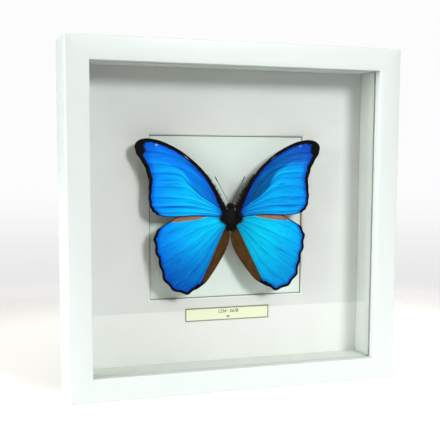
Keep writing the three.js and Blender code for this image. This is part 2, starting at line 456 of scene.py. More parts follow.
def glass_material(rgb):
    """Clear glass. Light from the lamps goes straight through it."""
    material, tree, shader = new_material(
        "pane glass", Roughness=0.0, IOR=GLASS_IOR, Transmission_Weight=1.0, Base_Color=opaque(rgb)
    )
    path = add_node(tree, "ShaderNodeLightPath").outputs
    inside = add_node(tree, "ShaderNodeNewGeometry").outputs["Backfacing"]
    bend = mapped(tree, inside, 0, 1, GLASS_IOR, 1 / GLASS_IOR)
    mirrored = add_node(tree, "ShaderNodeFresnel", {"IOR": bend}).outputs[0]
    passed = mixed(tree, mirrored, rgb, (0, 0, 0))
    straight = add_node(tree, "ShaderNodeBsdfTransparent", {"Color": passed})
    to_lamp = math_node(tree, "MAXIMUM", path["Is Shadow Ray"], path["Is Diffuse Ray"])
    mix = mix_shaders(tree, to_lamp, shader, straight)
    tree.links.new(mix.outputs[0], tree.nodes["Material Output"].inputs["Surface"])
    return material


def hardboard_material(rgb):
    """Pressed brown fibres with darker and paler flecks."""
    material, tree, shader = new_material("hardboard", Roughness=0.7)
    place = object_coordinates(tree)
    flecks = noise(tree, place, 1.6 * MM, detail=6, roughness=0.7, distortion=1.5)
    cloud = noise(tree, place, 30 * MM)
    tone = spread(tree, flecks)
    fibre = mixed(tree, tone, scaled(rgb, 0.6), scaled(rgb, 1.5))
    worn = mixed(tree, spread(tree, cloud, 0, 0.35), fibre, scaled(rgb, 0.7))
    link(tree, worn, shader, "Base Color")
    link(tree, spread(tree, flecks, 0.55, 0.8), shader, "Roughness")
    link(tree, bump(tree, flecks, 0.06 * MM), shader, "Normal")
    return material


def steel_material():
    """Thin rolled steel with fine drawn lines and a few dull patches."""
    material, tree, shader = new_material("tab steel", Metallic=1.0)
    place = object_coordinates(tree)
    lines = noise(tree, place, 0.3 * MM, stretch=(1, 1, 0.04))
    patches = noise(tree, place, 5 * MM)
    tone = mapped(tree, patches, 0.35, 0.65)
    link(tree, mixed(tree, tone, (0.46, 0.47, 0.48), (0.62, 0.62, 0.61)), shader, "Base Color")
    link(tree, spread(tree, patches, 0.28, 0.48), shader, "Roughness")
    link(tree, bump(tree, lines, 0.01 * MM), shader, "Normal")
    return material


def foam_material():
    """White foam with small open cells."""
    material, tree, shader = new_material("riser foam", Roughness=0.95)
    place = object_coordinates(tree)
    scale = {"Vector": place, "Scale": 1 / (0.5 * MM)}
    cells = add_node(tree, "ShaderNodeTexVoronoi", scale).outputs["Distance"]
    link(tree, mixed(tree, cells, (0.55, 0.56, 0.54), (0.84, 0.84, 0.81)), shader, "Base Color")
    link(tree, bump(tree, cells, 0.15 * MM), shader, "Normal")
    return material


FLOOR_GLOW = 0.18  # lifts the shadows on the floor, for the camera only
FLOOR_FADE = (0.28, 0.6)  # distances from the frame between which the floor fades from view


def floor_material(rgb):
    """Matt pale studio floor, which the camera sees fade into the wall."""
    material, tree, shader = new_material("studio floor", Roughness=0.9)
    place = object_coordinates(tree)
    cloud = noise(tree, place, 0.6)
    link(tree, mixed(tree, cloud, scaled(rgb, 0.98), rgb), shader, "Base Color")
    away = add_node(tree, "ShaderNodeVectorMath", {0: place}, operation="LENGTH").outputs["Value"]
    camera_ray = add_node(tree, "ShaderNodeLightPath").outputs["Is Camera Ray"]
    faded = math_node(tree, "MULTIPLY", mapped(tree, away, *FLOOR_FADE, smooth_step=True), camera_ray)
    link(tree, math_node(tree, "MULTIPLY", camera_ray, FLOOR_GLOW), shader, "Emission Strength")
    shader.inputs["Emission Color"].default_value = opaque(rgb)
    clear = add_node(tree, "ShaderNodeBsdfTransparent")
    mix = mix_shaders(tree, faded, shader, clear)
    tree.links.new(mix.outputs[0], tree.nodes["Material Output"].inputs["Surface"])
    return material


# ---------------------------------------------------------------- frame


CORNER_STEPS = 4  # cuts that round an outer corner of the frame
RAIL_OVERRUN = 5 * MM  # how far a rail runs past its mitres before they are cut


def rail_blank(settings):
    """The bottom rail: a wall with a lip at its front, soft long edges and mitred ends."""
    reach = HALF + RAIL_OVERRUN
    rail = add_block("frame_blank", (-reach, RAIL_LOW.y, 0), (reach, RAIL_HIGH.y, WALL))
    bpy.ops.object.mode_set(mode="EDIT")
    cut((0, LIP_BACK, 0), (0, 1, 0))
    choose(rail, faces=lambda f: f.normal.z > 0.9 and f.calc_center_median().y < LIP_BACK)
    bpy.ops.mesh.extrude_region_move(TRANSFORM_OT_translate={"value": (0, 0, OPENING - WALL)})
    bpy.ops.object.mode_set(mode="OBJECT")
    apply_modifier(rail, "BEVEL", width=settings.edge, segments=4, limit_method="ANGLE", angle_limit=1.0)
    bpy.ops.object.mode_set(mode="EDIT")
    for end in (-1, 1):
        cut((end * HALF, 0, 0), (end, 0, 1), remove=True)
        for step in range(CORNER_STEPS):
            cut((end * (HALF - settings.corner * (1 - step / CORNER_STEPS)), 0, 0), (end, 0, 0))
    bpy.ops.object.mode_set(mode="OBJECT")
    round_outer_corners(rail, settings.corner)
    return rail


def round_outer_corners(rail, radius):
    """Bends the last stretch of each end round an arc, up to the mitre."""
    for vertex in rail.data.vertices:
        along = abs(vertex.co.x) - (HALF - radius)
        depth = vertex.co.z
        if along <= 0 or depth >= radius - 1e-6:
            continue
        bend = min(along / (radius - depth), 1) * math.pi / 4
        vertex.co.x = math.copysign(HALF - radius + (radius - depth) * math.sin(bend), vertex.co.x)
        vertex.co.z = radius - (radius - depth) * math.cos(bend)


def build_rails(settings):
    """Four equal rails, turned from one blank."""
    paint = paint_material(settings.paint)
    blank = rail_blank(settings)
    smooth(blank)
    for side in SIDES:
        rail = copied(blank, f"frame_{side}")
        turn_to_side(rail, side)
        finish_piece(rail, paint, replaces=[f"rail_{side}"])
    bpy.data.objects.remove(blank)


# ---------------------------------------------------------------- label


FIGURE_PROUD = 0.02 * MM  # how far the printed figures stand off the paper
FIGURE_SLANT = 0.35  # sideways shift over height
FIGURE_SPREAD = 0.05 * MM  # how much bolder the figures are printed
FIRST_LINE_UP = 1.7 * MM  # the lines of figures lie this far above and below the middle
SECOND_LINE_DOWN = 2.4 * MM


def figures(text, height, x, z, y):
    """Slanted figures, as a thin mesh that lies on the label."""
    bpy.ops.object.select_all(action="DESELECT")
    bpy.ops.object.text_add()
    writing = bpy.context.object
    writing.data.body = text
    writing.data.size = height
    writing.data.shear = FIGURE_SLANT
    writing.data.align_x = "CENTER"
    writing.data.align_y = "CENTER"
    writing.data.extrude = FIGURE_PROUD
    writing.data.offset = FIGURE_SPREAD
    activate(writing)
    bpy.ops.object.convert(target="MESH")
    mesh = bpy.context.object
    mesh.data.transform(Matrix.Translation((x, y, z)) @ Matrix.Rotation(math.pi / 2, 4, "X"))
    return mesh


def build_label(settings):
    """A cream card with a printed border and two lines of figures."""
    label = add_block("label", LABEL_LOW, LABEL_HIGH)
    middle = (LABEL_LOW + LABEL_HIGH) / 2
    inner = (LABEL_HIGH - LABEL_LOW) / 2 - Vector((settings.border, 0, settings.border))
    bpy.ops.object.mode_set(mode="EDIT")
    choose(label, faces=lambda f: f.normal.y < -0.9)
    bpy.ops.mesh.inset(thickness=settings.border)
    bpy.ops.object.mode_set(mode="OBJECT")
    label.data.materials.append(paper_material("label paper", settings.paper)[0])
    label.data.materials.append(paper_material("label ink", settings.ink, mottle=0.08)[0])
    for face in label.data.polygons:
        away = face.center - middle
        on_border = abs(away.x) > inner.x or abs(away.z) > inner.z
        face.material_index = int(face.normal.y < -0.9 and on_border)
    front = LABEL_LOW.y - FIGURE_PROUD
    lines = [
        figures(settings.first_line, settings.first_height, middle.x, middle.z + FIRST_LINE_UP, front),
        figures(settings.second_line, settings.second_height, middle.x, middle.z - SECOND_LINE_DOWN, front),
    ]
    figure_ink = paper_material("figure ink", settings.figures, mottle=0.08)[0]
    for line in lines:
        line.data.materials.append(figure_ink)
    activate(label)
    for line in lines:
        line.select_set(True)
    bpy.ops.object.join()
    finish_piece(label, replaces=["label_card"])


# ---------------------------------------------------------------- tabs

TAB_CORNER = 3.5 * MM  # radius of the free end's corners
TAB_LIFT = 1.1 * MM  # how far the free end is bent off the board
TAB_EDGE = 0.1 * MM


def tab_blank():
    """The bottom rail's left tab: a steel tongue with a round end that curls off the board."""
    low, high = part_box("tab_bottom_left")
    tab = add_block("steel_tab", low, high)
    bpy.ops.object.mode_set(mode="EDIT")
    tip = high.z - GAP
    choose(tab, edges=lambda e: all(v.co.z > tip for v in e.verts) and edge_runs(e, "y"))
    bpy.ops.mesh.bevel(offset=TAB_CORNER, segments=6, affect="EDGES")
    bends = 6
    for step in range(1, bends):
        cut((0, 0, WALL + (high.z - WALL) * step / bends), (0, 0, 1))
    bpy.ops.object.mode_set(mode="OBJECT")
    for vertex in tab.data.vertices:
        free = max(vertex.co.z - WALL, 0) / (high.z - WALL)
        vertex.co.y += TAB_LIFT * free**2
    apply_modifier(tab, "BEVEL", width=TAB_EDGE, segments=2, limit_method="ANGLE", angle_limit=1.0)
    smooth(tab)
    return tab


def edge_runs(edge, axis):
    """True if the edge runs along that axis."""
    run = edge.verts[1].co - edge.verts[0].co
    return abs(getattr(run, axis)) > 0.99 * run.length


def nearest_node(piece, prefix):
    """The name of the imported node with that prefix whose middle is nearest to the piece's."""
    places = [vertex.co for vertex in piece.data.vertices]
    middle = sum(places, Vector()) / len(places)
    names = [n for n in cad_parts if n.startswith(prefix)]
    return min(names, key=lambda n: (sum(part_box(n), Vector()) / 2 - middle).length)


def build_tabs():
    """Two tabs on each side, as shifted and turned copies of one blank."""
    steel = steel_material()
    blank = tab_blank()
    low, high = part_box("tab_bottom_left")
    for side in SIDES:
        for shift in (0, -low.x - high.x):
            tab = copied(blank, "steel_tab_copy")
            tab.data.transform(Matrix.Translation((shift, 0, 0)))
            turn_to_side(tab, side)
            node_name = nearest_node(tab, "tab_")
            tab.name = tab.data.name = f"steel_{node_name}"
            finish_piece(tab, steel, replaces=[node_name])
    bpy.data.objects.remove(blank)


# ---------------------------------------------------------------- wings

# Lines of a right-hand wing in millimetres, outwards and upwards from the middle of the
# thorax. They run side by side from the root to the outer edge: first the front edge, then
# the veins, and last the inner edge. The three numbers are how dark a vein is at its root,
# half way and at its tip.
FOREWING_EDGE = [
    (71.8, 51), (70.3, 46), (66, 39.6), (63.2, 32.5), (62, 26), (62.4, 19), (62.1, 12), (60.4, 6.8),
    (56.6, 3.4), (50, 1.9),
]  # fmt: skip
FOREWING_CORNER = 8  # the point of that edge where the inner edge begins
FOREWING_FRONT_EDGE = [
    (4.6, 6.5), (11, 19.8), (19, 32.3), (27.8, 41.3), (38, 49), (50, 55), (60, 57.5), (67, 57),
    (71, 54.2), (71.8, 51),
]  # fmt: skip
FOREWING_LINES = [
    (FOREWING_FRONT_EDGE, (0, 0, 0)),
    ([(4.6, 5.9), (12, 18.5), (20, 30), (31.5, 39.8), (44.5, 45.8), (54, 48), (70.7, 48)], (0, 0.4, 0.8)),
    ([(4.6, 5.3), (13, 16), (22, 26.5), (32, 34), (42, 38), (54, 39.5), (66, 39.6)], (0, 0.15, 0.5)),
    (
        [(4.6, 4.5), (9, 7.3), (15, 11.7), (23, 17), (31.8, 25), (38.1, 31.2), (48, 33), (63.5, 33)],
        (1, 1, 0.1),
    ),
    (
        [(4.6, 3.8), (9.5, 6.3), (15.5, 10.2), (24, 15.4), (33, 22), (44, 23.6), (62.3, 23.4)],
        (0, 0.25, 0.3),
    ),
    ([(4.6, 3.1), (12, 6.6), (20, 10.2), (29, 13.6), (41, 15.2), (62.4, 15.6)], (0.2, 0.3, 0.25)),
    ([(4.6, 2.4), (14, 5.6), (24, 7.8), (36, 8.9), (50, 9), (61.5, 9.3)], (0.2, 0.6, 0.6)),
    ([(4.6, 1.3), (16, 3.6), (30, 4.8), (45, 4.9), (59.4, 5.3)], (0.4, 0.3, 0.1)),
    ([(4.6, 0), (16, 1.6), (29, 2), (40, 1.6), (50, 1.9), (56.6, 3.4)], (0, 0, 0)),
]
HINDWING_EDGE = [
    (56, -7), (59.1, -13.7), (58, -23.4), (55.3, -33), (52.4, -43.6), (45.2, -51.7), (34.4, -55.1),
    (26, -50.6),
]  # fmt: skip
HINDWING_LINES = [
    ([(4.6, -1), (12, 3), (28, 4), (39, 2.2), (47, -1.8), (56, -7)], (0, 0, 0)),
    ([(4.6, -1.6), (13, 0.4), (27, -0.8), (43, -6), (59.1, -13.7)], (0.3, 0.2, 0.2)),
    ([(4.6, -2.3), (13, -3), (26, -7.6), (41, -14.6), (58, -23.4)], (0.3, 0.2, 0.2)),
    ([(4.6, -3), (12, -6.4), (22.5, -13.2), (37, -22.6), (55.3, -33)], (0.5, 0.3, 0.2)),
    ([(4.6, -3.7), (10.8, -9.2), (19.5, -18), (32, -29.5), (52.4, -43.6)], (0.7, 0.3, 0.2)),
    ([(4.6, -4.3), (9.4, -11), (16.6, -22), (27.5, -36), (45.2, -51.7)], (0.6, 0.4, 0.2)),
    ([(4.6, -4.9), (8.2, -11.8), (14.2, -24), (22.5, -39.5), (34.4, -55.1)], (0.5, 0.5, 0.3)),
    ([(4.6, -5.5), (26, -50.6)], (0.6, 0.6, 0.8)),
]
FLAP_LINE = [
    (4.6, -5.5), (3.2, -7.7), (0.6, -12), (0.8, -16.5), (2.2, -20.8), (4.6, -26), (9, -33), (14.2, -40.2),
    (19.4, -46.4), (26, -50.6),
]  # fmt: skip
# The tan strip along the front of a hindwing lies above this line
TAN_LINE = [(15.5, 4), (20, 0.8), (25.5, -0.6), (33, -1.6), (42, -2.3), (48, -2.3)]
FLAP_SLOPE = 0.45  # how steeply the inner flap of a hindwing bends back
# Millimetres that the wings lie behind the middle of the thorax, less than 0 in front of it
WING_DEPTH = {"forewing": -1.2, "hindwing": -0.2}

COLUMNS_PER_VEIN = 22
FLAP_COLUMNS = 16
WING_ROWS = 150
CURVE_STEPS = 24
VEIN_REACH = 0.36  # millimetres over which a vein's tone and ridge fade


def catmull_rom(before, start, end, after, t):
    """A point of the smooth curve from start to end."""
    leave = (end - before) / 2
    arrive = (after - start) / 2
    return (
        (2 * start - 2 * end + leave + arrive) * t**3
        + (3 * end - 3 * start - 2 * leave - arrive) * t**2
        + leave * t
        + start
    )


def between(points, spot):
    """The smooth curve through points, at a place counted in points."""
    last = len(points) - 1
    k = min(int(spot), last - 1)
    four = [points[min(max(k + step, 0), last)] for step in (-1, 0, 1, 2)]
    return catmull_rom(*four, spot - k)


def smooth_line(points):
    """The smooth curve through points, as many short steps."""
    points = np.array(points, float)
    spots = np.linspace(0, len(points) - 1, CURVE_STEPS * (len(points) - 1) + 1)
    return np.array([between(points, spot) for spot in spots])


def spaced(line, count):
    """The same line as count points at even distances."""
    gone = np.concatenate([[0], np.cumsum(np.hypot(*np.diff(line, axis=0).T))])
    wanted = np.linspace(0, gone[-1], count)
    return np.column_stack([np.interp(wanted, gone, line[:, axis]) for axis in (0, 1)])


def distance_to(points, line, count=400):
    """The distance of each point of a grid to a line."""
    line = spaced(line, count)
    nearest = [np.hypot(*(line - point).T).min() for point in points.reshape(-1, 2)]
    return np.array(nearest).reshape(points.shape[:-1])


class WingPlan:
    """A right-hand wing laid out flat: a grid of points that follows its veins."""

    def __init__(self, lines, edge, scallop, corner=None):
        self.lines = [smooth_line(points) for points, _ in lines]
        self.tones = [tones for _, tones in lines]
        whole = smooth_line(edge)
        self.edge = whole if corner is None else whole[: corner * CURVE_STEPS + 1]
        self.columns = COLUMNS_PER_VEIN * (len(lines) - 1)
        self.u = np.linspace(0, len(lines) - 1, self.columns + 1)
        self.t = np.linspace(0, 1, WING_ROWS + 1)
        curves = np.array([spaced(line, WING_ROWS + 1) for line in self.lines])
        self.grid = np.array([between(curves, spot) for spot in self.u])
        self.snap_to_edge(scallop)

    def snap_to_edge(self, scallop):
        """Moves the outer row onto the outer edge, and gives that its waves."""
        edge = spaced(self.edge, 2000)
        ends = [np.argmin(np.hypot(*(edge - line[-1]).T)) for line in self.lines]
        ends[0], ends[-1] = 0, len(edge) - 1
        wanted = np.interp(self.u, range(len(ends)), ends).round().astype(int)
        run = np.gradient(edge, axis=0)
        inward = np.column_stack([run[:, 1], -run[:, 0]]) / np.hypot(*run.T)[:, None]
        wave = scallop * np.sin(np.pi * (self.u % 1)) ** 2 * np.clip(self.u, 0, 1)
        target = edge[wanted] + inward[wanted] * wave[:, None]
        shift = target - self.grid[:, -1]
        self.grid += shift[:, None, :] * (self.t**5)[None, :, None]
        self.edge = self.grid[:, -1]

    def spacing(self):
        """How far apart two veins are at each point, in millimetres."""
        across = np.gradient(self.grid, axis=0) * COLUMNS_PER_VEIN
        return np.maximum(np.hypot(across[..., 0], across[..., 1]), 1e-3)

    def vein_field(self):
        """1 on a vein, falling to 0 beside it, and the same field times each vein's tone."""
        nearest = self.u.round().astype(int)
        off = np.abs(self.u - nearest)[:, None] * self.spacing()
        ridge = np.exp(-((off / VEIN_REACH) ** 2))
        tone = np.stack([np.interp(self.t, (0, 0.5, 1), self.tones[line]) for line in nearest])
        return ridge, ridge * tone


def smoothstep(value, low, high):
    """0 below a range and 1 above it, with a smooth turn between."""
    part = np.clip((value - low) / (high - low), 0, 1)
    return part * part * (3 - 2 * part)


def joined_borders(*shares):
    """Several borders as one: 1 at the inner limit of each, and 0 at the edges themselves."""
    power = -3
    return sum(np.maximum(share, 1e-2) ** power for share in shares) ** (1 / power)


# Widths of the dark border in millimetres. The outer one of a forewing widens upwards by
# "middle" and then by "tip", and its front one is wider by "root" beside the body. The outer
# one of a hindwing widens by "inner_corner" towards its last veins.
FOREWING_BORDER = {"outer": 1.9, "middle": 1.3, "tip": 3.9, "front": 2.7, "root": 1.6, "inner": 0.45}
HINDWING_BORDER = {"outer": 2.0, "inner_corner": 1.4, "front": 0.6}
FLAP_BORDER = {"tip": 5.5, "rim": 0.45, "fold": 0.5}

ROOT_OVAL = (10.5, 7.5)  # half width and half height in millimetres
ROOT_UP = 1  # millimetres from the middle of the thorax up to the oval's
ROOT_FADE = (0.65, 1.1)  # shares of the oval between which the dark root ends

# Ovals on a forewing: place, half length and half width in millimetres, slant in degrees
# and strength
FOREWING_MARKS = [((55.7, 53), 0.8, 0.35, 10, 0.9), ((33.7, 44.1), 1.8, 0.35, 38, 0.3)]
# The shade ovals are painted shade: deeper blue along folds of the wing that lie in shade.
FOREWING_PAINTED_SHADES = [((41, 8.8), 14, 0.75, 0, 1.0), ((31, 39), 1.6, 0.7, 35, 0.8)]


def ovals(points, marks):
    """1 in the middle of each oval mark, falling to 0 outside them."""
    total = np.zeros(points.shape[:-1])
    for place, half_length, half_width, slant_deg, strength in marks:
        slant = math.radians(slant_deg)
        away = points - np.array(place, float)
        along = away[..., 0] * math.cos(slant) + away[..., 1] * math.sin(slant)
        across = away[..., 1] * math.cos(slant) - away[..., 0] * math.sin(slant)
        total += strength * np.exp(-((along / half_length) ** 2) - (across / half_width) ** 2)
    return total


def root_field(points):
    """1 on the dark root of a wing, falling to 0 beyond an oval round the thorax."""
    half_width, half_height = ROOT_OVAL
    away = np.hypot(points[..., 0] / half_width, (points[..., 1] - ROOT_UP) / half_height)
    return 1 - smoothstep(away, *ROOT_FADE)


def forewing_fields(plan):
    """Where the dark border, the dark root, the pale marks and the painted shade streaks lie."""
    upward = plan.grid[..., 1]
    width = FOREWING_BORDER
    outer_width = (
        width["outer"]
        + width["middle"] * smoothstep(upward, 12, 38)
        + width["tip"] * smoothstep(upward, 45, 49.5)
    )
    front_width = width["front"] + width["root"] * np.exp(-((plan.t[None, :] / 0.16) ** 2))
    border = joined_borders(
        distance_to(plan.grid, plan.edge) / outer_width,
        distance_to(plan.grid, plan.lines[0]) / front_width,
        distance_to(plan.grid, plan.lines[-1]) / width["inner"],
    )
    nothing = np.zeros_like(border)
    return {
        "border": border,
        "root": root_field(plan.grid),
        "mark": ovals(plan.grid, FOREWING_MARKS),
        "shade": ovals(plan.grid, FOREWING_PAINTED_SHADES),
        "tan": nothing,
        "flap": nothing,
    }


def hindwing_fields(plan):
    """Where the dark border, the dark root and the tan front strip of a hindwing lie."""
    outward, upward = plan.grid[..., 0], plan.grid[..., 1]
    width = HINDWING_BORDER
    outer_width = width["outer"] + width["inner_corner"] * smoothstep(plan.u, 5.5, 7)[:, None]
    border = joined_borders(
        distance_to(plan.grid, plan.edge) / outer_width,
        distance_to(plan.grid, plan.lines[0]) / width["front"],
    )
    strip = np.interp(outward, *np.transpose(TAN_LINE))
    nothing = np.zeros_like(border)
    return {
        "border": border,
        "root": root_field(plan.grid),
        "mark": nothing,
        "shade": nothing,
        "tan": smoothstep(upward - strip, -0.3, 0.5),
        "flap": nothing,
    }


def add_flap(grid, fields):
    """Adds the inner flap of a hindwing beyond its fold, and how far each point is from it."""
    rim = smooth_line(FLAP_LINE)
    fold = grid[-1]
    steps = np.linspace(0, 1, FLAP_COLUMNS + 1)[1:, None, None]
    flap = fold + (spaced(rim, WING_ROWS + 1) - fold) * steps
    run = (fold[-1] - fold[0]) / np.hypot(*(fold[-1] - fold[0]))
    away = flap - fold[0]
    off_fold = np.abs(away[..., 0] * run[1] - away[..., 1] * run[0])
    from_tip = np.hypot(*np.moveaxis(flap - fold[-1], -1, 0))
    border = joined_borders(
        from_tip / FLAP_BORDER["tip"],
        distance_to(flap, rim) / FLAP_BORDER["rim"],
        (off_fold + 0.3) / FLAP_BORDER["fold"],
    )
    on_flap = {
        "flap": np.ones(off_fold.shape),
        "border": border,
        "root": root_field(flap),
    }
    for name, values in fields.items():
        fields[name] = np.concatenate([values, on_flap.get(name, np.zeros(off_fold.shape))])
    return np.concatenate([grid, flap]), np.concatenate([np.zeros(grid.shape[:2]), off_fold])


def set_in_place(piece):
    """Moves a piece modelled about the middle of the thorax to its place and lean."""
    lean_back = Matrix.Rotation(-BUTTERFLY_LEAN, 4, "X")
    piece.data.transform(Matrix.Translation(THORAX) @ lean_back)


def wing_sheet(name, grid, depth, side):
    """A sheet through a grid of points, mirrored for the left side, with its face to the front."""
    columns, rows = (count - 1 for count in depth.shape)
    bpy.ops.object.select_all(action="DESELECT")
    bpy.ops.mesh.primitive_grid_add(x_subdivisions=columns, y_subdivisions=rows, size=1)
    wing = added(name)
    flat = np.empty(len(wing.data.vertices) * 3, np.float32)
    wing.data.vertices.foreach_get("co", flat)
    flat = flat.reshape(-1, 3)
    column = ((flat[:, 0] + 0.5) * columns).round().astype(int)
    row = ((flat[:, 1] + 0.5) * rows).round().astype(int)
    place = np.column_stack([side * grid[column, row, 0], depth[column, row], grid[column, row, 1]]) * MM
    wing.data.vertices.foreach_set("co", place.astype(np.float32).ravel())
    wing.data.update()
    set_in_place(wing)
    return wing, column, row


def store_field(mesh, name, values):
    """Keeps a number for each point of a mesh, for its material."""
    attribute = mesh.attributes.new(name, "FLOAT", "POINT")
    attribute.data.foreach_set("value", values.astype(np.float32))


def store_map(mesh, column, row, plan):
    """A UV map that runs from vein to vein and from root to edge."""
    corner = np.empty(len(mesh.loops), np.int32)
    mesh.loops.foreach_get("vertex_index", corner)
    across = column[corner] / plan.columns
    along = row[corner] / WING_ROWS
    layer = mesh.uv_layers[0]
    layer.name = "wing_map"
    layer.data.foreach_set("uv", np.column_stack([across, along]).astype(np.float32).ravel())


ROOT_OVERLAP = 1.2  # millimetres that a wing reaches into the thorax
PLEAT_START = (0.02, 0.35)  # shares of a vein's length between which the pleats begin


def build_wing(kind, side_name, plan, fields, settings, materials):
    """One wing: its sheet, pleats and ridges, what its material reads, and its thickness."""
    side = -1 if side_name == "left" else 1
    grid = plan.grid.copy()
    grid[..., 0] -= ROOT_OVERLAP * (1 - plan.t[None, :]) ** 12
    ridge, tone = plan.vein_field()
    fields = {**fields, "veins": tone}
    opening = smoothstep(plan.t, *PLEAT_START)[None, :]
    pleats = settings.pleat / MM * np.cos(2 * np.pi * plan.u)[:, None] * opening
    relief = pleats + settings.vein / MM * ridge
    behind = 0
    if kind == "hindwing":
        grid, off_fold = add_flap(grid, fields)
        relief = np.concatenate([relief, np.repeat(relief[-1:], FLAP_COLUMNS, axis=0)])
        behind = FLAP_SLOPE * off_fold
    depth = WING_DEPTH[kind] - relief + behind
    wing, column, row = wing_sheet(f"{kind}_{side_name}_wing", grid, depth, side)
    for name, values in fields.items():
        store_field(wing.data, name, values[column, row])
    store_map(wing.data, column, row, plan)
    activate(wing)
    bpy.ops.object.mode_set(mode="EDIT")
    bpy.ops.mesh.select_all(action="SELECT")
    bpy.ops.mesh.remove_doubles(threshold=1e-6)
    if side < 0:
        bpy.ops.mesh.flip_normals()
    bpy.ops.object.mode_set(mode="OBJECT")
    wing.data.materials.clear()
    for material in materials:
        wing.data.materials.append(material)
    apply_modifier(wing, "SOLIDIFY", thickness=settings.thickness, offset=0, material_offset=1)
    smooth(wing)
    finish_piece(wing, replaces=[f"{kind}_{side_name}"])


def srgb(code):
    """A colour written as on a paint chart, such as #0080ff, as shader numbers."""
    parts = [int(code[i : i + 2], 16) / 255 for i in (1, 3, 5)]
    return tuple(c / 12.92 if c <= 0.04045 else ((c + 0.055) / 1.055) ** 2.4 for c in parts)


# How the blue of each wing runs from its root to its edge, along its front and along its
# rear, between which shares of its width it turns from one to the other, the deep blue
# beside the dark border, and on a forewing how strong the painted shade ovals and pale marks
# are. These runs hold painted sheen and shade: the cyan zones are painted highlights, and the
# left and right copies differ as painted light, the left forewing painted brighter and the
# right one duller.
WING_LOOKS = {
    "forewing_left": {
        "front": ["#0046a8", "#0074d8", "#0078ea", "#0080fa"],
        "rear": ["#008ce0", "#00c0ff", "#00b0ff", "#0078ff"],
        "turn": (0.35, 0.42),
        "deep": "#0046c8",
        "shade": 0.9,
        "mark": 1.0,
    },
    "forewing_right": {
        "front": ["#002c60", "#004078", "#0058a4", "#1e50c4"],
        "rear": ["#0060a8", "#0094e0", "#00acf4", "#0080ec"],
        "turn": (0.35, 0.42),
        "deep": "#0038b0",
        "shade": 0.5,
        "mark": 0.5,
    },
    "hindwing_left": {
        "front": ["#00d2ff", "#00c4ff", "#00a8ff", "#0068f0"],
        "rear": ["#0094e0", "#0094e4", "#0074d4", "#0040a0"],
        "turn": (0.35, 0.8),
        "deep": "#0046c8",
    },
    "hindwing_right": {
        "front": ["#008cc0", "#00ccf4", "#00c8ff", "#0098f4"],
        "rear": ["#00a8cc", "#00c4e8", "#00acec", "#0088d4"],
        "turn": (0.35, 0.8),
        "deep": "#0050c8",
    },
}
DARK_BLUE = (0.0, 0.012, 0.09)
PAINTED_SHEEN_BLUE = (0.0, 0.62, 1.0)
ROOT_BLACK = (0.004, 0.004, 0.008)
MARK_WHITE = (0.75, 0.80, 0.95)
TAN_DARK = "#6e4830"
TAN_PALE = "#b08468"
FINE_RANGE = (0.35, 0.65)  # values of the finest streaks between which tan and brown turn pale


def ramp(tree, value, colours):
    """A run of colours at even steps of a value from 0 to 1."""
    node = add_node(tree, "ShaderNodeValToRGB", {"Fac": value})
    node.color_ramp.interpolation = "B_SPLINE"
    stops = node.color_ramp.elements
    while len(stops) < len(colours):
        stops.new(0.5)
    for index, (stop, rgb) in enumerate(zip(stops, colours, strict=True)):
        stop.position = index / (len(colours) - 1)
        stop.color = opaque(rgb)
    return node.outputs["Color"]


def field(tree, name):
    """A number kept on the mesh."""
    return add_node(tree, "ShaderNodeAttribute", attribute_name=name).outputs["Fac"]


def field_times(tree, name, strength):
    """A number kept on the mesh, made weaker or stronger."""
    return math_node(tree, "MULTIPLY", field(tree, name), strength)


def streaks(tree, wing_map, across, along, seed, detail=3.0):
    """Noise drawn out along the veins: so many streaks from front to rear and root to edge."""
    scale = {"Vector": wing_map, "Scale": (across, along, 1), "Location": (0, 0, seed)}
    stretched = add_node(tree, "ShaderNodeMapping", scale).outputs[0]
    settings = {"Vector": stretched, "Scale": 1.0, "Detail": detail, "Roughness": 0.6}
    return add_node(tree, "ShaderNodeTexNoise", settings).outputs["Fac"]


def blue_scales(tree, look, wing_map, fine, seed):
    """The blue of a wing: one run of colours at its front, one at its rear, and streaks, the pale ones
    painted sheen.
    """
    axes = add_node(tree, "ShaderNodeSeparateXYZ", {"Vector": wing_map})
    along = axes.outputs["Y"]
    front = ramp(tree, along, [srgb(c) for c in look["front"]])
    rear = ramp(tree, along, [srgb(c) for c in look["rear"]])
    across = math_node(tree, "ADD", axes.outputs["X"], mapped(tree, along, 0.45, 0.75, 0, 0.15))
    blue = mixed(tree, mapped(tree, across, *look["turn"], smooth_step=True), front, rear)
    broad = streaks(tree, wing_map, 22, 2.2, seed)
    blue = mixed(tree, mapped(tree, broad, 0.5, 0.75, 0, 0.4), blue, srgb(look["deep"]))
    thin = streaks(tree, wing_map, 55, 3.5, seed + 9, detail=5)
    blue = mixed(tree, mapped(tree, thin, 0.54, 0.68, 0, 0.45), blue, DARK_BLUE)
    # Painted sheen: pale streaks where the scales catch the light.
    return mixed(tree, mapped(tree, fine, 0.5, 0.8, 0, 0.4), blue, PAINTED_SHEEN_BLUE)


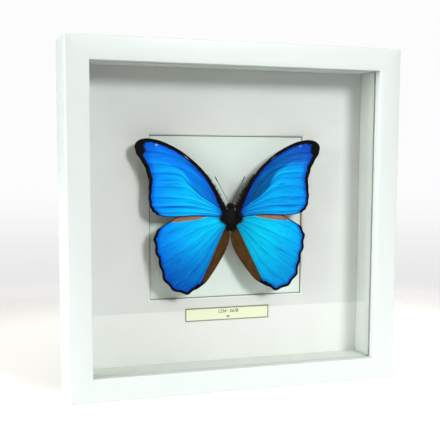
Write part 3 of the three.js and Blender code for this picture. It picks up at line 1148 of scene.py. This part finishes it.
def wing_material(name, look, settings, seed):
    """Blue scales in fine streaks along the veins, with a dark border and a dark root, and with painted
    sheen and painted shade in the blue.
    """
    material, tree, shader = new_material(f"{name} scales", Metallic=0.25, Specular_IOR_Level=0.02)
    wing_map = add_node(tree, "ShaderNodeUVMap", uv_map="wing_map").outputs[0]
    place = object_coordinates(tree)
    fine = streaks(tree, wing_map, 90, 6, seed + 5)
    blue = blue_scales(tree, look, wing_map, fine, seed)
    grain = spread(tree, noise(tree, place, 1.4 * MM), -0.14, 0.14)
    ragged = math_node(tree, "ADD", field(tree, "border"), grain)
    near = mapped(tree, ragged, 1.0, 2.4, 0.75, 0, smooth_step=True)
    blue = mixed(tree, near, blue, srgb(look["deep"]))
    blue = mixed(tree, field_times(tree, "veins", 0.85), blue, DARK_BLUE)
    # Painted shade: deeper blue in the shade ovals of the forewings.
    blue = mixed(tree, field_times(tree, "shade", look.get("shade", 0.0)), blue, srgb(look["deep"]))
    strip = mixed(tree, mapped(tree, fine, *FINE_RANGE), srgb(TAN_DARK), srgb(TAN_PALE))
    blue = mixed(tree, field(tree, "tan"), blue, strip)
    dark_fold, pale_fold = scaled(settings.fold, 0.6), scaled(settings.fold, 1.5)
    brown = mixed(tree, mapped(tree, fine, *FINE_RANGE), dark_fold, pale_fold)
    blue = mixed(tree, field(tree, "flap"), blue, brown)
    dark = mapped(tree, ragged, 0.85, 1.1, 1, 0, smooth_step=True)
    blue = mixed(tree, dark, blue, tuple(settings.margin))
    root = math_node(tree, "ADD", field(tree, "root"), spread(tree, fine, -0.4, 0.4))
    blue = mixed(tree, mapped(tree, root, 0.2, 0.7, smooth_step=True), blue, ROOT_BLACK)
    blue = mixed(tree, field_times(tree, "mark", look.get("mark", 0.0)), blue, MARK_WHITE)
    link(tree, blue, shader, "Base Color")
    link(tree, spread(tree, fine, 0.36, 0.52), shader, "Roughness")
    link(tree, bump(tree, fine, 0.05 * MM), shader, "Normal")
    return material


def underside_material():
    """The plain brown underside of the wings."""
    material, tree, shader = new_material("wing underside", Roughness=0.7)
    place = object_coordinates(tree)
    cloud = noise(tree, place, 6 * MM)
    link(tree, mixed(tree, cloud, (0.06, 0.035, 0.02), (0.20, 0.13, 0.08)), shader, "Base Color")
    link(tree, bump(tree, noise(tree, place, 0.4 * MM), 0.03 * MM), shader, "Normal")
    return material


def build_wings(settings):
    """A plan for each kind of wing, and each kind built left and right."""
    below = underside_material()
    scallop = settings.scallop / MM
    forewing = WingPlan(FOREWING_LINES, FOREWING_EDGE, scallop * 0.4, FOREWING_CORNER)
    hindwing = WingPlan(HINDWING_LINES, HINDWING_EDGE, scallop)
    wings = [("forewing", forewing, forewing_fields), ("hindwing", hindwing, hindwing_fields)]
    for seed, (kind, plan, find_fields) in enumerate(wings):
        fields = find_fields(plan)
        for side_name in ("left", "right"):
            name = f"{kind}_{side_name}"
            above = wing_material(name, WING_LOOKS[name], settings, seed + 10 * len(side_name))
            build_wing(kind, side_name, plan, fields, settings, [above, below])


# ---------------------------------------------------------------- body

# Radius and height of the body in millimetres, from the stub of the abdomen to the head
BODY_PROFILE = [
    (0, -9), (1.3, -8.6), (2.4, -7.2), (3.4, -5.2), (4.2, -2), (4.2, 1.5), (3.7, 4.2), (2.8, 6), (2, 6.8),
    (1.9, 7.9), (1.8, 9.3), (1.2, 10.4), (0, 10.9),
]  # fmt: skip
NECK = 6.8  # height of the narrow place between thorax and head
BODY_RINGS = 70
BODY_SIDES = 48
BODY_FLATNESS = 0.92
BODY_DEPTH = 0.8  # millimetres that the body's axis lies behind the middle of the thorax
EYE = {"x": 1.05, "y": -0.1, "z": 8.7, "radius": 1.0, "tallness": 1.2}
PALP = {"x": 0.55, "y": -0.5, "z": 10.3, "radius": 0.45, "length": 2.4}
ANTENNA = {"x": 1.1, "z": 11.15, "length": 22, "splay": 28.5, "radius": 0.19, "club": 0.4, "joints": 36}


def spun(name, profile, sides):
    """A closed solid turned from a profile of radius and height, in millimetres."""
    bpy.ops.object.select_all(action="DESELECT")
    bpy.ops.mesh.primitive_plane_add(size=MM)
    piece = added(name)
    bpy.ops.object.mode_set(mode="EDIT")
    bpy.ops.mesh.select_all(action="SELECT")
    bpy.ops.mesh.merge(type="CENTER")
    here = (0, 0)
    for radius, height in profile:
        step = ((radius - here[0]) * MM, 0, (height - here[1]) * MM)
        if here == (0, 0):
            bpy.ops.transform.translate(value=step)
        else:
            bpy.ops.mesh.extrude_region_move(TRANSFORM_OT_translate={"value": step})
        here = (radius, height)
    bpy.ops.mesh.select_all(action="SELECT")
    bpy.ops.mesh.spin(steps=sides, angle=2 * math.pi, center=(0, 0, 0), axis=(0, 0, 1))
    bpy.ops.mesh.select_all(action="SELECT")
    bpy.ops.mesh.remove_doubles(threshold=1e-6)
    bpy.ops.mesh.normals_make_consistent(inside=False)
    bpy.ops.object.mode_set(mode="OBJECT")
    return piece


def ball(name, place, radii):
    """An oval solid, its place and radii in millimetres."""
    bpy.ops.object.select_all(action="DESELECT")
    bpy.ops.mesh.primitive_uv_sphere_add(segments=24, ring_count=16, radius=1)
    piece = added(name)
    piece.data.transform(Matrix.LocRotScale(Vector(place) * MM, None, Vector(radii) * MM))
    return piece


def body_radius(height):
    """Radius of the body at a height, in millimetres."""
    profile = np.array(BODY_PROFILE, float)
    return np.interp(height, profile[:, 1], profile[:, 0])


def skin_material(rgb):
    """Dark, dull and uneven, as dried skin under short hair."""
    material, tree, shader = new_material("insect skin", Roughness=0.6)
    place = object_coordinates(tree)
    fuzz = noise(tree, place, 0.35 * MM, detail=5)
    link(tree, mixed(tree, fuzz, scaled(rgb, 0.5), scaled(rgb, 2.2)), shader, "Base Color")
    link(tree, spread(tree, fuzz, 0.5, 0.75), shader, "Roughness")
    link(tree, bump(tree, fuzz, 0.12 * MM), shader, "Normal")
    return material


def eye_material():
    """Large eyes of many tiny lenses."""
    material, tree, shader = new_material("insect eye", Roughness=0.22)
    scale = {"Vector": object_coordinates(tree), "Scale": 1 / (0.09 * MM)}
    lenses = add_node(tree, "ShaderNodeTexVoronoi", scale).outputs["Distance"]
    link(tree, mixed(tree, lenses, (0.018, 0.010, 0.006), (0.05, 0.03, 0.018)), shader, "Base Color")
    link(tree, bump(tree, lenses, 0.03 * MM), shader, "Normal")
    return material


def hair_material(rgb):
    """Fine hair from brown-black to brown."""
    material, tree, shader = new_material("insect hair", Roughness=0.5, Specular_IOR_Level=0.12)
    cloud = noise(tree, object_coordinates(tree), 0.8 * MM)
    link(tree, mixed(tree, cloud, scaled(rgb, 0.4), scaled(rgb, 1.8)), shader, "Base Color")
    link(tree, spread(tree, cloud, 0.42, 0.62), shader, "Roughness")
    return material


def build_body(settings):
    """Head, thorax and the stub of the abdomen, with eyes and palps."""
    skin = skin_material(settings.skin)
    profile = spaced(smooth_line(BODY_PROFILE), BODY_RINGS)
    body = spun("insect_body", [tuple(p) for p in profile], BODY_SIDES)
    body.data.materials.append(skin)
    behind = Matrix.Translation((0, BODY_DEPTH * MM, 0))
    body.data.transform(behind @ Matrix.Diagonal((1, BODY_FLATNESS, 1, 1)))
    eyes = eye_material()
    for side in (-1, 1):
        eye_radii = (EYE["radius"], EYE["radius"], EYE["radius"] * EYE["tallness"])
        eye = ball("eye", (side * EYE["x"], EYE["y"], EYE["z"]), eye_radii)
        eye.data.materials.append(eyes)
        palp_radii = (PALP["radius"], PALP["radius"], PALP["length"] / 2)
        palp = ball("palp", (side * PALP["x"], PALP["y"], PALP["z"]), palp_radii)
        palp.data.materials.append(skin)
        activate(body)
        eye.select_set(True)
        palp.select_set(True)
        bpy.ops.object.join()
    set_in_place(body)
    smooth(body, 60)
    finish_piece(body, replaces=["butterfly_body"])


HAIR_REACH = [(-9, 0.75), (-4, 0.4), (4, 0.35), (7, 0.5), (11, 0.35)]  # height and share of the longest


def body_hairs(draw, count, longest):
    """Hairs that stand on the front and sides of the body: their roots, aims and lengths."""
    height = draw.uniform(-8.5, 10.2, count)
    turn = draw.uniform(0.85 * np.pi, 2.15 * np.pi, count)
    out = np.column_stack([np.cos(turn), BODY_FLATNESS * np.sin(turn), np.zeros(count)])
    root = out * body_radius(height)[:, None] * 0.97 + (0, BODY_DEPTH, 0)
    root[:, 2] = height
    aim = out * 0.7 + draw.normal(0, 0.3, (count, 3))
    aim[:, 2] += np.where(height > NECK, 0.9, -0.7)
    reach = longest * draw.uniform(0.3, 1.0, count) * np.interp(height, *np.transpose(HAIR_REACH))
    return root, aim, reach


def root_hairs(draw, count, longest):
    """Hairs that lie outwards over the roots of the wings."""
    side = draw.choice((-1, 1), count)
    height = draw.normal(-0.3, 2.2, count)
    root = np.column_stack([side * draw.uniform(2.6, 4.4, count), np.full(count, -1.45), height])
    aim = np.column_stack([side, draw.uniform(-0.25, 0.02, count), draw.normal(0, 0.3, count) - 0.25])
    reach = longest * draw.uniform(0.3, 1.4, count) ** 2 * np.maximum(1 - np.abs(height) / 5, 0.15)
    return root, aim, reach


def edge_hairs_and_shade(draw, count, longest):
    """A fringe along the root of each forewing's front edge: partly real hair, partly painted shade, drawn
    long and dense to darken the shade beside those roots.
    """
    side = draw.choice((-1, 1), count)
    line = smooth_line(FOREWING_FRONT_EDGE)[: 2 * CURVE_STEPS]
    spot = (draw.uniform(0, 1, count) ** 1.3 * (len(line) - 1)).astype(int)
    root = np.column_stack([line[spot, 0], np.full(count, -1.1), line[spot, 1]])
    root[:, 0] += draw.uniform(-0.1, 1.6, count)
    outward = draw.normal(-0.42, 0.25, count)
    backward = draw.uniform(0.4, 1.3, count)
    aim = np.column_stack([outward, backward, np.full(count, 0.4)])
    root[:, 0] *= side
    aim[:, 0] *= side
    reach = longest * draw.uniform(0.5, 1.4, count) ** 1.5 * (1 - 0.5 * spot / len(line))
    return root, aim, reach


HAIR_RADIUS = 0.085  # millimetres
HAIR_TAPER = 0.7  # share of that radius half way along
HAIR_SPOKES = (0, 2.094, 4.189)  # thirds of a turn, in radians


def build_hair(settings):
    """Hairs over the body and over the roots of the wings, in one mesh."""
    draw = np.random.default_rng(settings.seed)
    longest = settings.hair_length / MM
    tufts = [
        body_hairs(draw, settings.hair_count, longest),
        root_hairs(draw, settings.hair_count // 4, longest),
        edge_hairs_and_shade(draw, settings.hair_count // 3, longest),
    ]
    root, aim, reach = (np.concatenate(parts) for parts in zip(*tufts, strict=True))
    along = aim / np.linalg.norm(aim, axis=1)[:, None] * reach[:, None]
    droop = draw.normal(0, 0.12, root.shape) * reach[:, None]
    hair = hairs_mesh("insect_hair", root, root + along * 0.5, root + along + droop, HAIR_RADIUS)
    set_in_place(hair)
    finish_piece(hair, hair_material(settings.hair))


def hairs_mesh(name, root, middle, tip, radius):
    """Tapered three-sided hairs, each through three points, as one mesh of closed spikes."""
    count = len(root)
    aim = tip - root
    side = np.cross(aim, (0.3, 0.5, 0.8))
    side /= np.linalg.norm(side, axis=1)[:, None]
    other = np.cross(aim, side)
    other /= np.linalg.norm(other, axis=1)[:, None]
    spokes = [math.cos(turn) * side + math.sin(turn) * other for turn in HAIR_SPOKES]
    rings = [root + spoke * radius for spoke in spokes]
    rings += [middle + spoke * radius * HAIR_TAPER for spoke in spokes]
    points = np.stack([*rings, tip], axis=1).reshape(-1, 3) * MM
    faces = []
    for first in range(0, 7 * count, 7):
        a, b, c, d, e, f, g = range(first, first + 7)
        faces += [(a, c, b), (a, b, e, d), (b, c, f, e), (c, a, d, f), (d, e, g), (e, f, g), (f, d, g)]
    mesh = bpy.data.meshes.new(name)
    mesh.from_pydata(points.tolist(), [], faces)
    hair = bpy.data.objects.new(name, mesh)
    bpy.context.scene.collection.objects.link(hair)
    return hair


def antenna_profile():
    """Radius and length of a feeler: short joints that swell to a slim club."""
    joints = ANTENNA["joints"]
    profile = [(0, 0)]
    for joint in range(joints):
        start = joint / joints
        swell = smoothstep(start, 0.72, 0.9) * (1 - smoothstep(start, 0.95, 1.05) * 0.6)
        radius = ANTENNA["radius"] + (ANTENNA["club"] - ANTENNA["radius"]) * swell
        for part, share_of_radius in ((0.05, 0.82), (0.5, 1.0), (0.9, 0.95)):
            profile.append((radius * share_of_radius, (start + part / joints) * ANTENNA["length"]))
    return [*profile, (0, ANTENNA["length"])]


def build_antennae(settings):
    """Two feelers that spread from the head."""
    skin = skin_material(settings.skin)
    for side, side_name in ((-1, "left"), (1, "right")):
        feeler = spun(f"feeler_{side_name}", antenna_profile(), 10)
        splay = Matrix.Rotation(math.radians(side * ANTENNA["splay"]), 4, "Y")
        root = Vector((side * ANTENNA["x"], BODY_DEPTH, ANTENNA["z"])) * MM
        feeler.data.transform(Matrix.Translation(root) @ splay)
        set_in_place(feeler)
        smooth(feeler, 60)
        finish_piece(feeler, skin, replaces=[f"antenna_{side_name}"])


# ---------------------------------------------------------------- boards, pane and stage


def build_boards(settings):
    """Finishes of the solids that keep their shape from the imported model."""
    dress("glass_pane", glass_material(settings.glass))
    dress("mat_board", mat_material(settings.mat, settings.core))
    dress("window_card", paper_material("window card", settings.card)[0])
    dress("back_board", hardboard_material(settings.hardboard))
    dress("riser_block", foam_material())
    spacer = paper_material("spacer paper", settings.spacer)[0]
    for side in SIDES:
        dress(f"spacer_{side}", spacer)


# The camera stands to the left of the frame, a little above its middle
CAMERA_PLACE = Vector((-212.9, -598.8, 169.6)) * MM
CAMERA_YAW = math.radians(18.72)
CAMERA_PITCH = math.radians(-6.54)
CAMERA_ROLL = math.radians(0.23)
CAMERA_LENS = 70.63
CAMERA_SHIFT = 36 / 440

KEY_TOWARDS = Vector((0.38, -1, 0.47)).normalized()  # from the specimen to the key light
SIDE_TOWARDS = Vector((-1, -0.2, 0.2))  # from the specimen to the light at its left

FLOOR_FRONT = -0.33  # the floor's front edge
FLOOR_REACH = 6.0

# What the camera sees behind everything: WALL_LOW where it looks down, WALL_HIGH elsewhere
WALL_LOW = (0.83, 0.82, 0.82)
WALL_HIGH = (0.985, 0.98, 0.98)
WALL_FADE = (-0.14, -0.03)  # upward parts of its direction between which they blend
SKY = (1.0, 0.96, 0.88)
MIRRORED_LIGHT = 0.04  # strength of the world in mirrors and through glass


def build_camera():
    """The camera, set to a fixed place and turn."""
    data = bpy.data.cameras.new("camera")
    data.lens = CAMERA_LENS
    data.shift_y = CAMERA_SHIFT
    data.clip_start = 0.05
    data.clip_end = 50
    camera = bpy.data.objects.new("camera", data)
    bpy.context.scene.collection.objects.link(camera)
    upright = Matrix.Rotation(math.pi / 2 + CAMERA_PITCH, 4, "X")
    turn = Matrix.Rotation(-CAMERA_YAW, 4, "Z")
    roll = Matrix.Rotation(CAMERA_ROLL, 4, "Z")
    camera.matrix_world = Matrix.Translation(CAMERA_PLACE) @ turn @ upright @ roll
    bpy.context.scene.camera = camera


def build_floor(settings):
    """A pale floor whose front edge ends a little before the frame."""
    low = Vector((-FLOOR_REACH, FLOOR_FRONT, -0.01))
    floor = add_block("studio_floor", low, (FLOOR_REACH, FLOOR_REACH, 0))
    floor.data.materials.append(floor_material(settings.floor))


def add_lamp(name, kind, towards, place=None):
    """A lamp that shines from a direction and is never seen itself."""
    lamp = bpy.data.objects.new(name, bpy.data.lights.new(name, kind))
    lamp.rotation_mode = "QUATERNION"
    lamp.rotation_quaternion = towards.to_track_quat("Z", "Y")
    lamp.location = place or (0, 0, 1)
    lamp.visible_camera = False
    bpy.context.scene.collection.objects.link(lamp)
    return lamp


def keep_out_of_pane(lamp):
    """The pane doesn't mirror this lamp."""
    receivers = bpy.data.collections.new("not lit by the key light")
    receivers.objects.link(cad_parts["glass_pane"])
    receivers.collection_objects[0].light_linking.link_state = "EXCLUDE"
    lamp.light_linking.receiver_collection = receivers


def build_lights(settings):
    """A round key light at the upper right and a broad light at the left."""
    key_lamp = add_lamp("key light", "AREA", KEY_TOWARDS, MIDDLE + KEY_TOWARDS * settings.key_distance)
    key = key_lamp.data
    key.shape = "DISK"
    key.size = settings.key_width
    key.energy = settings.key_strength * math.pi * settings.key_distance**2
    keep_out_of_pane(key_lamp)
    side = add_lamp("side light", "SUN", SIDE_TOWARDS).data
    side.energy = settings.side_strength
    side.angle = settings.side_spread


def build_world(settings):
    """Bright to the camera, dim in the pane, and for all else a soft light from overhead."""
    world = bpy.data.worlds.new("studio")
    world.use_nodes = True
    bpy.context.scene.world = world
    tree = world.node_tree
    direction = add_node(tree, "ShaderNodeTexCoord").outputs["Generated"]
    up = add_node(tree, "ShaderNodeSeparateXYZ", {"Vector": direction}).outputs["Z"]
    height = mapped(tree, up, *WALL_FADE, smooth_step=True)
    wall = mixed(tree, height, WALL_LOW, WALL_HIGH)
    seen = add_node(tree, "ShaderNodeBackground", {"Color": wall})
    strength = mapped(tree, up, 0.25, 0.95, settings.low_strength, settings.top_strength, smooth_step=True)
    light = add_node(tree, "ShaderNodeBackground", {"Color": opaque(SKY), "Strength": strength})
    path = add_node(tree, "ShaderNodeLightPath").outputs
    mirrored = math_node(tree, "MAXIMUM", path["Is Glossy Ray"], path["Is Transmission Ray"])
    dim = add_node(tree, "ShaderNodeBackground", {"Color": (1, 1, 1, 1), "Strength": MIRRORED_LIGHT})
    lit = mix_shaders(tree, mirrored, light, dim)
    surface = mix_shaders(tree, path["Is Camera Ray"], lit, seen).outputs[0]
    tree.links.new(surface, tree.nodes["World Output"].inputs["Surface"])


def build_stage(settings):
    """Camera, floor, lamps and world."""
    build_camera()
    build_floor(settings)
    build_lights(settings)
    build_world(settings)
    bpy.context.scene.view_settings.view_transform = "Standard"


# ---------------------------------------------------------------- add-on


class SPECIMEN_OT_stage(bpy.types.Operator):
    """Set up the floor, the light and the camera"""

    bl_idname = "specimen.stage"
    bl_label = "Stage"

    def execute(self, context):
        build_stage(context.scene.specimen_stage)
        return {"FINISHED"}


class SPECIMEN_OT_rails(bpy.types.Operator):
    """Model the four painted rails of the frame"""

    bl_idname = "specimen.rails"
    bl_label = "Frame rails"

    def execute(self, context):
        build_rails(context.scene.specimen_frame)
        return {"FINISHED"}


class SPECIMEN_OT_boards(bpy.types.Operator):
    """Give the pane, mat, card, spacers, riser and back board their finish"""

    bl_idname = "specimen.boards"
    bl_label = "Pane and boards"

    def execute(self, context):
        build_boards(context.scene.specimen_boards)
        return {"FINISHED"}


class SPECIMEN_OT_tabs(bpy.types.Operator):
    """Model the steel tabs that hold the back board"""

    bl_idname = "specimen.tabs"
    bl_label = "Back tabs"

    def execute(self, context):
        build_tabs()
        return {"FINISHED"}


class SPECIMEN_OT_label(bpy.types.Operator):
    """Model the label with its border and figures"""

    bl_idname = "specimen.label"
    bl_label = "Label"

    def execute(self, context):
        build_label(context.scene.specimen_label)
        return {"FINISHED"}


class SPECIMEN_OT_wings(bpy.types.Operator):
    """Model the four wings"""

    bl_idname = "specimen.wings"
    bl_label = "Wings"

    def execute(self, context):
        build_wings(context.scene.specimen_wings)
        return {"FINISHED"}


class SPECIMEN_OT_body(bpy.types.Operator):
    """Model the body with its eyes, palps, hair and feelers"""

    bl_idname = "specimen.body"
    bl_label = "Body"

    def execute(self, context):
        settings = context.scene.specimen_body
        build_body(settings)
        build_hair(settings)
        build_antennae(settings)
        return {"FINISHED"}


OPERATORS = (
    SPECIMEN_OT_stage,
    SPECIMEN_OT_rails,
    SPECIMEN_OT_boards,
    SPECIMEN_OT_tabs,
    SPECIMEN_OT_label,
    SPECIMEN_OT_wings,
    SPECIMEN_OT_body,
)
SETTINGS = {
    "specimen_stage": StageSettings,
    "specimen_frame": FrameSettings,
    "specimen_boards": BoardSettings,
    "specimen_label": LabelSettings,
    "specimen_wings": WingSettings,
    "specimen_body": BodySettings,
}


class SPECIMEN_PT_panel(bpy.types.Panel):
    """Lists the steps in the 3D view's sidebar"""

    bl_idname = "SPECIMEN_PT_panel"
    bl_label = "Framed Butterfly Specimen"
    bl_space_type = "VIEW_3D"
    bl_region_type = "UI"
    bl_category = "Specimen"

    def draw(self, context):
        for operator in OPERATORS:
            self.layout.operator(operator.bl_idname)
        for name, group in SETTINGS.items():
            box = self.layout.box()
            for setting in group.__annotations__:
                box.prop(getattr(context.scene, name), setting)


def register():
    for cls in (*SETTINGS.values(), *OPERATORS, SPECIMEN_PT_panel):
        bpy.utils.register_class(cls)
    for name, group in SETTINGS.items():
        setattr(bpy.types.Scene, name, PointerProperty(type=group))


def unregister():
    for name in SETTINGS:
        delattr(bpy.types.Scene, name)
    for cls in reversed((*SETTINGS.values(), *OPERATORS, SPECIMEN_PT_panel)):
        bpy.utils.unregister_class(cls)


def main():
    register()
    for operator in OPERATORS:
        group, name = operator.bl_idname.split(".")
        getattr(getattr(bpy.ops, group), name)()


if __name__ == "__main__":
    main()
